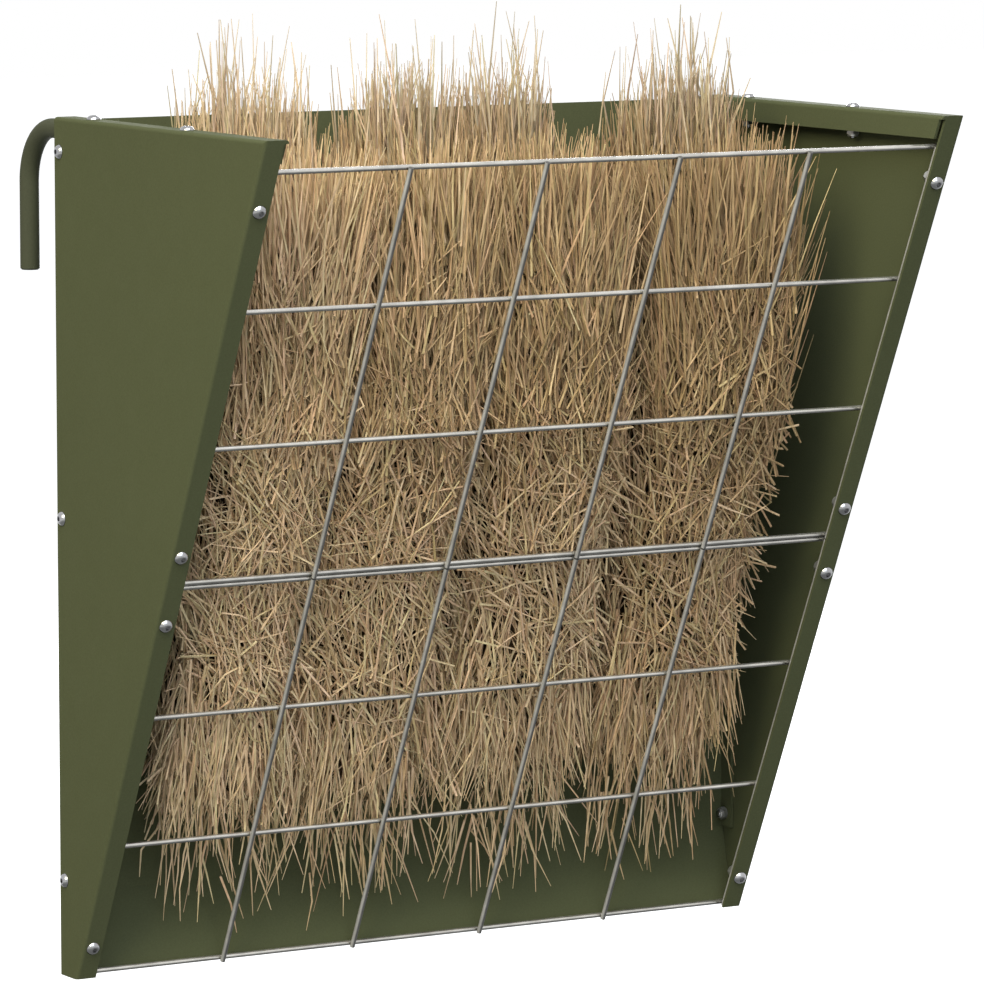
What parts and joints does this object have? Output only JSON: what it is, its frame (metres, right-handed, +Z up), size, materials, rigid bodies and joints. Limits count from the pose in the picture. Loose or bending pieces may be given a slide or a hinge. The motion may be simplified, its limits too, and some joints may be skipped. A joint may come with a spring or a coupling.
{
  "type": "hanging hay feeder",
  "caption": "Hanging hay feeder: a tapered folded-sheet hopper with a slanted welded-wire front, bent bar hooks for a rail and a loose fill of hay.",
  "frame": {"origin": "middle of the rear face, level with the undersides of the hook bars, where the rail's top goes", "axes": "+X to the right seen from the front, +Y out of the rear face, +Z up"},
  "size_m": [0.5296, 0.3505, 0.6531],
  "materials": {
    "olive_sheet": "satin",
    "hook_bar": "satin",
    "grid_wire": "satin",
    "bolt_steel": "polished",
    "washer_steel": "satin",
    "nut_zinc": "satin",
    "hay": "matte"
  },
  "bodies": {
    "feeder": {"left_side_panel": "olive_sheet", "right_side_panel": "olive_sheet", "back_panel": "olive_sheet", "left_hook": "hook_bar", "right_hook": "hook_bar", "upper_grid_cross_wires": "grid_wire", "upper_grid_uprights": "grid_wire", "upper_grid_bolts": "bolt_steel", "upper_grid_washers": "washer_steel", "upper_grid_nuts": "nut_zinc", "lower_grid_cross_wires": "grid_wire", "lower_grid_uprights": "grid_wire", "lower_grid_bolts": "bolt_steel", "lower_grid_washers": "washer_steel", "lower_grid_nuts": "nut_zinc", "left_seam_bolts": "bolt_steel", "left_seam_nuts": "nut_zinc", "left_hook_bolts": "bolt_steel", "left_hook_nuts": "nut_zinc", "right_seam_bolts": "bolt_steel", "right_seam_nuts": "nut_zinc", "right_hook_bolts": "bolt_steel", "right_hook_nuts": "nut_zinc"},
    "hay": {"hay_clump_1": "hay", "hay_clump_2": "hay", "hay_clump_3": "hay", "hay_clump_4": "hay"}
  },
  "joints": [
    {"name": "hay_lift", "type": "slide", "parent": "feeder", "child": "hay", "axis": [0, 0, 1], "range_m": [0, 0.62]}
  ]
}
